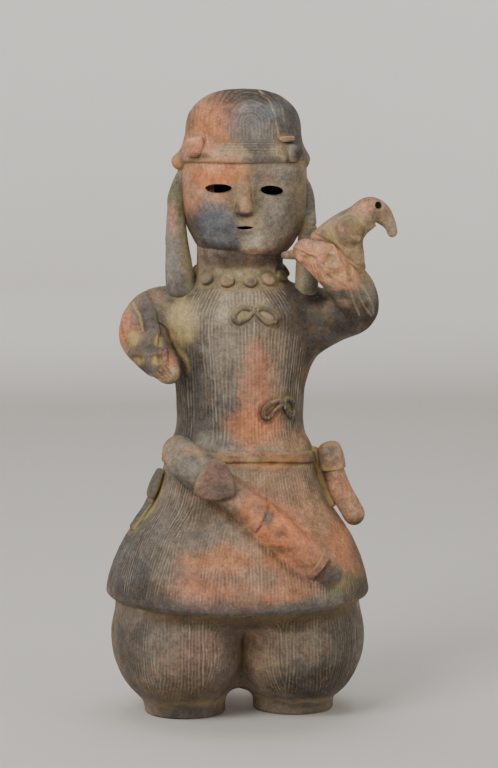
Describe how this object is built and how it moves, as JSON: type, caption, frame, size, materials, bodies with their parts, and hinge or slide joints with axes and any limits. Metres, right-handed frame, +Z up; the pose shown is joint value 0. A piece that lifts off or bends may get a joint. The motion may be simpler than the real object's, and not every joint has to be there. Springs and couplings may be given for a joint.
{
  "type": "haniwa figure",
  "caption": "Standing hollow clay haniwa of a falconer with a hawk on its raised fist, a sword across the belt, flared skirt and bulbous trousers on ankle rings.",
  "frame": {"origin": "middle of the figure's box, on the plane the two ankle rings stand on", "axes": "+Z up; the figure faces -Y; +X is the wearer's left hand, which carries the hawk"},
  "size_m": [0.2691, 0.2342, 0.6001],
  "materials": {
    "smoked_clay": "matte"
  },
  "bodies": {
    "root": {"haniwa_figure": "smoked_clay"}
  },
  "joints": []
}
